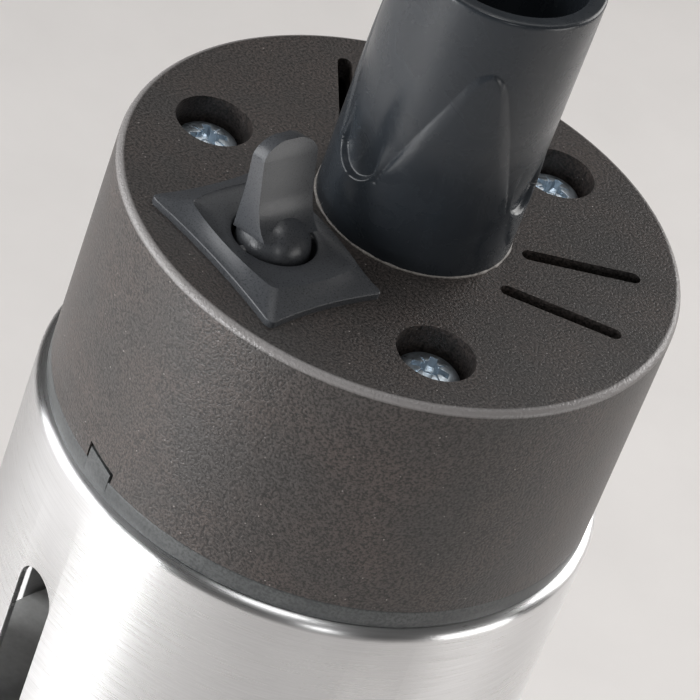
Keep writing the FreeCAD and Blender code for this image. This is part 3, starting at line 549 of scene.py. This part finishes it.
# ---- neck tube ----
NECK_R, NECK_WALL, NECK_FLOOR = 11.95, 2.0, 4.0
BOOT_T, POCKET_AZ, POCKET_DEPTH = 0.28, -97.3, 0.55
POCKET_HALF, POCKET_FLOOR, POCKET_TOP = 3.7, 7.4, 15.5
TONGUE = ((20.0, 9.5), (22.7, 12.0), (36.0, 20.1), (49.0, 27.3), (53.0, 28.6), (60.0, 29.3))


def tongue_height(turn_from_pocket):
    """Height of the boot's upper edge, that many degrees from a pocket's middle."""
    for (a0, z0), (a1, z1) in zip(TONGUE, TONGUE[1:]):
        if turn_from_pocket <= a1:
            return z0 + (z1 - z0) * max(turn_from_pocket - a0, 0.0) / (a1 - a0)
    return TONGUE[-1][1]


def boot_relief(azimuth, height):
    """How far the boot stands out from the plain tube, or how deep a pocket goes in below it."""
    turn_off = (azimuth - POCKET_AZ + 60) % 120 - 60
    across = math.radians(turn_off) * NECK_R
    side = smooth_step(abs(turn_off), 20, 33) * (1 - smooth_step(abs(turn_off), 44, 59))
    roll = 0.5 + 4.6 * side
    inside = min(max((tongue_height(abs(turn_off)) - height) / roll, 0.0), 1.0)
    boot = BOOT_T * (1 - (1 - inside) ** 2)
    collar = BOOT_T * (1 - smooth_step(abs(turn_off), 17, 25)) * (1 - smooth_step(height, 9.5, POCKET_TOP))
    boot = max(boot, collar)
    bottom = POCKET_FLOOR + POCKET_HALF - math.sqrt(max(POCKET_HALF ** 2 - across ** 2, 0.0))
    fade = 1 - smooth_step(height, POCKET_FLOOR + 1.0, POCKET_TOP)
    ledge = min(smooth_step(POCKET_HALF - abs(across), 0.0, 0.6), smooth_step(height - bottom, 0.0, 0.5))
    return boot + (-POCKET_DEPTH * fade - boot) * ledge


def neck_tube():
    steps, rim = 480, 0.45
    top, foot = NECK_TOP, CAP_TOP
    heights = [foot + 0.12 * k for k in range(int((top - foot - rim) / 0.12))]
    outline = [(z, 0.0) for z in heights]
    outline += [(top - rim + rim * math.sin(a), rim * (1 - math.cos(a)))
                for a in (math.radians(15 * k) for k in range(1, 7))]
    rings = []
    for z, inset in outline:
        ring = []
        for j in range(steps):
            azimuth = 360 * j / steps
            r = NECK_R - inset + boot_relief(azimuth, z - foot)
            x, y = polar(r, azimuth)
            ring.append((x, NECK_Y + y, z))
        rings.append(ring)
    bore = NECK_R - NECK_WALL
    floor_z, wire_r, spigot_r = foot + NECK_FLOOR, 7.2, 9.0
    inside = [(bore + 0.3, top), (bore + 0.08, top - 0.1), (bore, top - 0.35), (bore, floor_z + 0.4),
              (bore - 0.4, floor_z), (wire_r, floor_z), (wire_r, foot - 10), (spigot_r, foot - 10),
              (spigot_r, foot)]
    for r, z in inside:
        rings.append([(r * math.cos(a), NECK_Y + r * math.sin(a), z)
                      for a in (2 * math.pi * j / steps for j in range(steps))])
    verts, faces = skin(rings + [rings[0]])
    tube = mesh_piece("neck_tube_moulding", verts, faces)
    use(tube, "WELD", merge_threshold=0.00001)
    shade(tube, 50)
    return fit_out(tube, FINISHES["neck_plastic"], "housing", "neck_plastic", "neck_tube")


def neck_flash():
    """The thin ragged line of flash where the neck meets the cap."""
    steps = 360
    rings = []
    for j in range(steps):
        a = 2 * math.pi * j / steps
        wander = noise.noise((7 * math.cos(a), 7 * math.sin(a), 3.1))
        ragged = noise.noise((40 * math.cos(a), 40 * math.sin(a), 8.4))
        out = NECK_R + BOOT_T + 0.10 + 0.16 * max(wander + 0.35, 0) + 0.05 * ragged
        rise = 0.10 + 0.10 * max(wander + 0.2, 0)
        section = ((NECK_R - 0.3, 0.0), (out, 0.0), (out - 0.03, rise),
                   (NECK_R + BOOT_T - 0.05, rise + 0.18), (NECK_R - 0.3, rise + 0.18))
        rings.append([(r * math.cos(a), NECK_Y + r * math.sin(a), CAP_TOP + z) for r, z in section])
    flash = mesh_piece("neck_flash_line", *skin(rings + [rings[0]]))
    use(flash, "WELD", merge_threshold=0.00001)
    return fit_out(flash, FLASH, "housing", "neck_plastic")


# ---- toggle switch ----
def bowed_quad(half_x, low_y, high_y, bow, corner, z, steps=240):
    """A four-sided ring whose sides bow out (or in, below zero), with softened corners."""
    corners = ((-half_x, low_y), (half_x, low_y), (half_x, high_y), (-half_x, high_y))
    plan = []
    for k in range(4):
        start, end = Vector(corners[k]), Vector(corners[(k + 1) % 4])
        side = end - start
        outward = Vector((side.y, -side.x)).normalized()
        for j in range(steps // 4):
            t = j / (steps / 4)
            plan.append(start + side * t + outward * bow * (1 - (2 * t - 1) ** 2))
    reach = max(int(corner / (4 * half_x + 2 * (high_y - low_y)) * steps), 1)
    softened = []
    for j in range(steps):
        near = [plan[(j + k) % steps] for k in range(-reach, reach + 1)]
        softened.append(sum(near, Vector((0.0, 0.0))) / len(near))
    return [(p.x, p.y, CAP_TOP + z) for p in softened]


def ring_round(r, z, steps=240):
    """A round ring about the ball, in step with the points of a four-sided one."""
    return [(r * math.cos(a), SWITCH_Y + r * math.sin(a), CAP_TOP + z)
            for a in (math.radians(225 + 360 * j / steps) for j in range(steps))]


def between(first, second, t, lift=0.0):
    return [tuple(a + (b - a) * t for a, b in zip(p, q))[:2] + (p[2] + (q[2] - p[2]) * t + lift,)
            for p, q in zip(first, second)]


def switch_bezel():
    """A plate with hollow sides; its border slopes up to a dark dished field round the ball."""
    edge = bowed_quad(11.9, -30.0, -12.9, -0.7, 1.3, 0.0)
    upper = bowed_quad(11.9, -30.0, -12.9, -0.7, 1.3, 0.78)
    lip = bowed_quad(11.82, -29.92, -12.98, -0.7, 1.3, 0.9)
    inner = bowed_quad(11.66, -29.76, -13.14, -0.7, 1.3, 0.97)
    crest = bowed_quad(8.05, -27.1, -14.3, 0.8, 0.9, 2.25)
    field = bowed_quad(7.9, -26.95, -14.45, 0.8, 0.9, 2.17)
    hole = ring_round(5.4, 1.75)
    rings = [edge, upper, lip, inner]
    rings += [between(inner, crest, t, -0.10 * math.sin(math.pi * t)) for t in (0.2, 0.4, 0.6, 0.8)]
    rings += [crest, field]
    rings += [between(field, hole, t, -0.10 * math.sin(math.pi * t)) for t in (0.25, 0.5, 0.75)]
    collar = ((5.22, 1.68), (5.12, 1.5), (5.1, 1.2), (5.1, -4.0), (8.2, -4.0), (8.2, 0.0))
    rings += [hole] + [ring_round(r, z) for r, z in collar]
    plate = mesh_piece("switch_bezel_plate", *skin(rings + [edge]))
    use(plate, "WELD", merge_threshold=0.00001)
    shade(plate, 24)
    return fit_out(plate, FINISHES["switch_plastic"], "housing", "switch_plastic", "switch_bezel")


BALL_R, FIN_HALF_W, FIN_SHOULDER, FIN_RISE, LEVER_LEAN = 4.55, 4.0, 11.5, 2.55, -15.0
FIN_FRONT = ((2.2, 3.1), (3.0, 2.45), (4.0, 1.95), (5.2, 1.6), (6.8, 1.42), (14.0, 1.35))
FIN_BACK = ((2.2, -2.6), (4.5, -2.05), (7.0, -1.45), (9.8, -1.0), (12.5, -0.72), (14.0, -0.6))


def along_curve(points, z):
    """A value at a height, on smooth pieces through (height, value) points."""
    last = len(points) - 2
    for k in range(last + 1):
        (z0, x0), (z1, x1) = points[k], points[k + 1]
        if z <= z1 or k == last:
            before, after = points[max(k - 1, 0)], points[min(k + 2, last + 1)]
            m0 = (x1 - before[1]) / (z1 - before[0]) * (z1 - z0)
            m1 = (after[1] - x0) / (after[0] - z0) * (z1 - z0)
            t = (z - z0) / (z1 - z0)
            return ((2 * t ** 3 - 3 * t ** 2 + 1) * x0 + (t ** 3 - 2 * t ** 2 + t) * m0
                    + (3 * t ** 2 - 2 * t ** 3) * x1 + (t ** 3 - t ** 2) * m1)


def switch_lever():
    """A ball with a flat round-topped flag on it and a hollow tail below."""
    half = FIN_HALF_W
    outline = [(half, 2.2)] + [(half * math.cos(a), FIN_SHOULDER + FIN_RISE * math.sin(a))
                               for a in (math.radians(5 * k) for k in range(37))] + [(-half, 2.2)]
    flanks = []
    for k in range(48):
        z = 2.2 + 0.25 * k
        back, front = along_curve(FIN_BACK, z), along_curve(FIN_FRONT, z)
        flanks.append([(back, -5, z), (front, -5, z), (front, 5, z), (back, 5, z)])
    flag = mesh_piece("switch_toggle", *skin(flanks, (True, True)))
    face = mesh_piece("cutter", *skin([[(x, y, z) for y, z in outline] for x in (-5.0, 5.0)], (True, True)))
    carve(flag, [face], "INTERSECT")
    ease_edges(flag, 0.18, 3, 30)
    profile = [(0.02, -BALL_R)] + arc(0, 0, BALL_R, -89, 89, 60) + [(0.02, BALL_R)]
    ball = lathe("cutter", profile, 128)
    tail = column(2.3, -9.5, -3.0, (0, 0), 48)
    carve(flag, [ball, tail], "UNION")
    carve(flag, [column(1.5, -10.0, -4.0, (0, 0), 48)])
    shade(flag, 38)
    turn(flag, LEVER_LEAN, "Y")
    flag.data.transform(Matrix.Translation(BALL * MM))
    return fit_out(flag, FINISHES["switch_plastic"], "toggle", "switch_plastic", "switch_lever")


# ---- bent rods and leads ----
def resampled(points, step):
    """Points at an even spacing along a path."""
    path = [Vector(points[0])]
    for point in points[1:]:
        start, end = path[-1], Vector(point)
        count = max(int((end - start).length / step), 1)
        path += [start.lerp(end, k / count) for k in range(1, count + 1)]
    return path


def softened(path, reach):
    """Rounds a path's corners, keeping its two ends."""
    last = len(path) - 1
    made = []
    for k in range(last + 1):
        room = min(reach, k, last - k)
        near = path[k - room:k + room + 1]
        made.append(sum(near, Vector()) / len(near))
    return made


def swept(name, path, r, sides=20):
    """A round rod along a path, with closed ends."""
    rings = []
    across = Vector((1.0, 0.0, 0.0))
    for k, point in enumerate(path):
        along = (path[min(k + 1, len(path) - 1)] - path[max(k - 1, 0)]).normalized()
        across = (across - along * across.dot(along)).normalized()
        other = along.cross(across)
        rings.append([tuple(point + (across * math.cos(a) + other * math.sin(a)) * r)
                      for a in (2 * math.pi * j / sides for j in range(sides))])
    piece = mesh_piece(name, *skin(rings, (True, True)))
    shade(piece, 50)
    return piece


LEG_R, LEG_TUBE_R, LEG_AZ = 25.5, 3.0, (60.0, 120.0)
COIL_TOP, COIL_BOTTOM, COIL_TURNS, COIL_RETURN_R = 145.0, 71.0, 19 / 6, 18.0
LEG_TOP = 222.0


def heater_coil():
    """One leg down into a helix, and a return leg up inside it."""
    low_az = LEG_AZ[0] - 360 * COIL_TURNS
    steps = 240
    points = [(*polar(LEG_R, LEG_AZ[0]), LEG_TOP)]
    for k in range(steps + 1):
        t = k / steps
        azimuth = LEG_AZ[0] + (low_az - LEG_AZ[0]) * t
        points.append((*polar(LEG_R, azimuth), COIL_TOP + (COIL_BOTTOM - COIL_TOP) * t))
    cross = COIL_TOP + 5.5
    points += [(*polar(COIL_RETURN_R, low_az), COIL_BOTTOM), (*polar(COIL_RETURN_R, low_az), cross),
               (*polar(LEG_R, LEG_AZ[1]), cross), (*polar(LEG_R, LEG_AZ[1]), LEG_TOP)]
    coil = swept("heating_coil_rod", softened(resampled(points, 1.2), 3), LEG_TUBE_R)
    return fit_out(coil, FINISHES["element_steel"], "housing", "element_steel", "heater_coil")


def switch_lead(color, blade_x, start_z, shift):
    """An insulated lead from a switch blade, over the transformer and down to the board."""
    start_y, top = SWITCH_Y + 3.2, 246.0 - shift / 3
    points = [(blade_x, start_y, start_z), (13.2 + shift, start_y + 1.0, start_z), (14.5 + shift, -6.0, top),
              (15.5 + shift, 6.5, top), (14.0 + shift, 16.5, 232.0), (14.0 + shift, 16.5, BOARD_TOP)]
    lead = swept(f"switch_lead_{color}", softened(resampled(points, 0.5), 4), 0.75, 16)
    return fit_out(lead, FINISHES["wire_" + color], "housing", "wire_" + color, "switch_wire_" + color)


FLASH = mottled("neck_flash", (0.30, 0.28, 0.26), 0.5, 2500.0, 0.5)

end_cap()
cap_screws()
seal_ring()
steel_sleeve()
neck_tube()
neck_flash()
switch_bezel()
switch_lever()
heater_coil()
switch_lead("red", 6.0, 231.0, 0.0)
switch_lead("white", 0.0, 229.3, 1.8)


# ---- camera ----
AIM = Vector((0.0081, -0.0103, 0.2431))
RIGHT = Vector((0.5930, 0.7526, 0.2862))
UP = Vector((-0.6322, 0.2151, 0.7443))
BACK = Vector((0.4986, -0.6223, 0.6034))

camera_data = bpy.data.cameras.new("camera")
camera_data.lens = 205.5
camera_data.sensor_width = 36.0
camera_data.clip_start, camera_data.clip_end = 0.01, 10.0
camera = bpy.data.objects.new("camera", camera_data)
camera.matrix_world = Matrix.LocRotScale(AIM + BACK * 0.47, Matrix((RIGHT, UP, BACK)).transposed(), None)
bpy.context.scene.collection.objects.link(camera)
bpy.context.scene.camera = camera


# ---- light ----
def direction(azimuth, elevation):
    a, e = math.radians(azimuth), math.radians(elevation)
    return Vector((math.cos(a) * math.cos(e), math.sin(a) * math.cos(e), math.sin(e)))


def soft_light(name, azimuth, elevation, distance, width, height, power, color=(1.0, 1.0, 1.0)):
    """A softbox at that direction from the head, aimed at it; sizes in metres."""
    data = bpy.data.lights.new(name, "AREA")
    data.shape, data.size, data.size_y = "RECTANGLE", width, height
    data.energy, data.color = power, color
    light = bpy.data.objects.new(name, data)
    offset = direction(azimuth, elevation)
    light.location = AIM + offset * distance
    light.rotation_mode = "QUATERNION"
    light.rotation_quaternion = (-offset).to_track_quat("-Z", "Y")
    bpy.context.scene.collection.objects.link(light)
    return light


soft_light("left_strip", -101, -2, 0.70, 0.26, 0.34, 3.3, (0.98, 0.99, 1.0))
soft_light("left_softbox", -138, 14, 0.70, 0.50, 0.50, 3.2, (0.98, 0.99, 1.0))
soft_light("right_softbox", 86, 20, 0.80, 0.50, 0.50, 3.6, (1.0, 0.985, 0.97))
soft_light("right_fill", 30, 0, 0.80, 0.40, 0.34, 1.5, (1.0, 0.985, 0.97))
soft_light("front_glint", -26, 20, 0.80, 0.12, 0.18, 0.4)
soft_light("rear_softbox", 130, 62, 0.90, 0.60, 0.60, 1.2)
soft_light("top_glint", -30, 80, 0.80, 0.22, 0.22, 0.8)

world = bpy.data.worlds.new("studio")
world.use_nodes = True
world.node_tree.nodes["Background"].inputs["Color"].default_value = (0.80, 0.79, 0.78, 1.0)
world.node_tree.nodes["Background"].inputs["Strength"].default_value = 0.10
bpy.context.scene.world = world
# Tones are judged straight, without a filmic curve.
bpy.context.scene.view_settings.view_transform = "Standard"


# ---- floor ----
FLOOR_REACH = 4000.0
floor = mesh_piece("floor", [(x * FLOOR_REACH, y * FLOOR_REACH, 0.0)
                             for x, y in ((-1, -1), (1, -1), (1, 1), (-1, 1))], [(0, 1, 2, 3)])
floor.data.materials.append(mottled("floor_paper", (0.84, 0.81, 0.79), 0.75, 30.0, 0.02))
